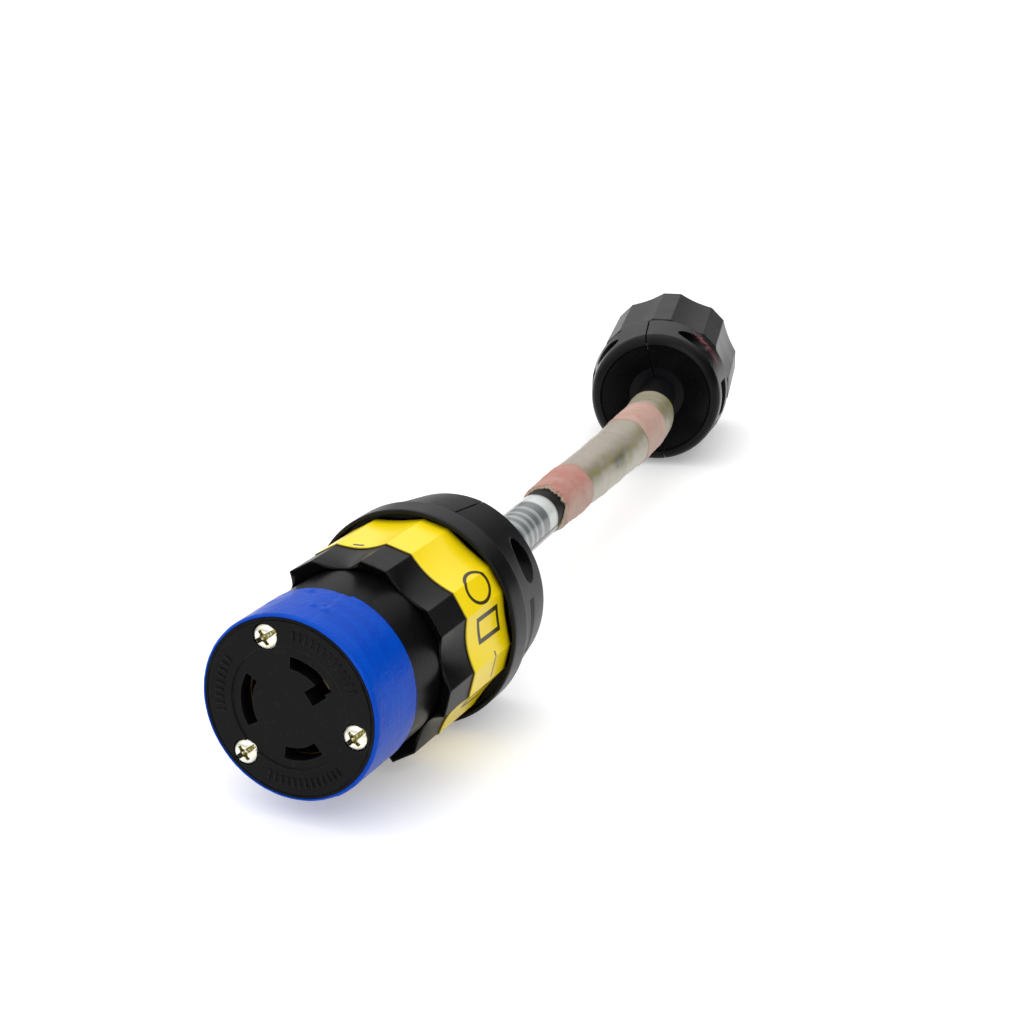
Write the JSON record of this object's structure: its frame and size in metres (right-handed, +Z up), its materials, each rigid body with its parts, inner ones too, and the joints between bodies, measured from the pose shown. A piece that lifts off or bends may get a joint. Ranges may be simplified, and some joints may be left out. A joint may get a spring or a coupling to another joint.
{
  "type": "power adapter cable",
  "caption": "Short power adapter cord with a three-slot locking connector on one end and a three-pin plug on the other.",
  "frame": {"origin": "middle of the object's box, on the surface that it lies on, the cord left out of the box", "axes": "+Z up; +Y along the connector's axis, from its mating face towards its cord; +X to the right, looking at the connector's mating face along +Y"},
  "size_m": [0.0893, 0.3674, 0.0556],
  "materials": {
    "black_block": "moulded, fine matt grain",
    "black_shell": "moulded nylon, satin",
    "black_clamp": "moulded nylon, satin, rubbed edges",
    "inner_plastic": "moulded",
    "brass": "stamped, satin",
    "nickel": "plated, satin",
    "zinc_screw": "zinc plated, yellowish",
    "green_screw": "green dyed plating",
    "blue_tape": "vinyl tape, slightly wrinkled",
    "yellow_label": "laminated label",
    "jacket": "matt rubber jacket",
    "seal": "moulded rubber",
    "lead_black": "insulated wire",
    "lead_white": "insulated wire",
    "lead_green": "insulated wire",
    "cord_label": "white label under a clear overlap, grey bands",
    "sleeve": "translucent wrapped tape over a stained lining",
    "pink_tape": "faded pink cloth tape"
  },
  "bodies": {
    "root": {"connector_face": "black_block", "connector_contact_hot": "brass", "connector_contact_neutral": "brass", "connector_contact_ground": "brass", "connector_retainer": "inner_plastic", "connector_terminal_brass": "brass", "connector_terminal_nickel": "nickel", "connector_terminal_green": "green_screw", "face_screws": "zinc_screw", "blue_tape": "blue_tape", "connector_grip": "black_shell", "grip_label": "yellow_label", "connector_clamp_right": "black_clamp", "connector_clamp_left": "black_clamp", "connector_clamp_screws": "zinc_screw", "connector_cord_seal": "seal", "connector_lead_black": "lead_black", "connector_lead_white": "lead_white", "connector_lead_green": "lead_green", "cord_jacket": "jacket", "cord_label": "cord_label", "tape_sleeve": "sleeve", "pink_band_front": "pink_tape", "pink_band_rear": "pink_tape", "plug_face": "black_block", "plug_blade_hot": "brass", "plug_blade_neutral": "nickel", "plug_ground_pin": "brass", "plug_retainer": "inner_plastic", "plug_terminal_brass": "brass", "plug_terminal_nickel": "nickel", "plug_terminal_green": "green_screw", "plug_face_screws": "zinc_screw", "plug_housing": "black_shell", "plug_clamp_right": "black_clamp", "plug_clamp_left": "black_clamp", "plug_clamp_screws": "zinc_screw", "plug_cord_seal": "seal", "plug_lead_black": "lead_black", "plug_lead_white": "lead_white", "plug_lead_green": "lead_green"}
  },
  "joints": []
}
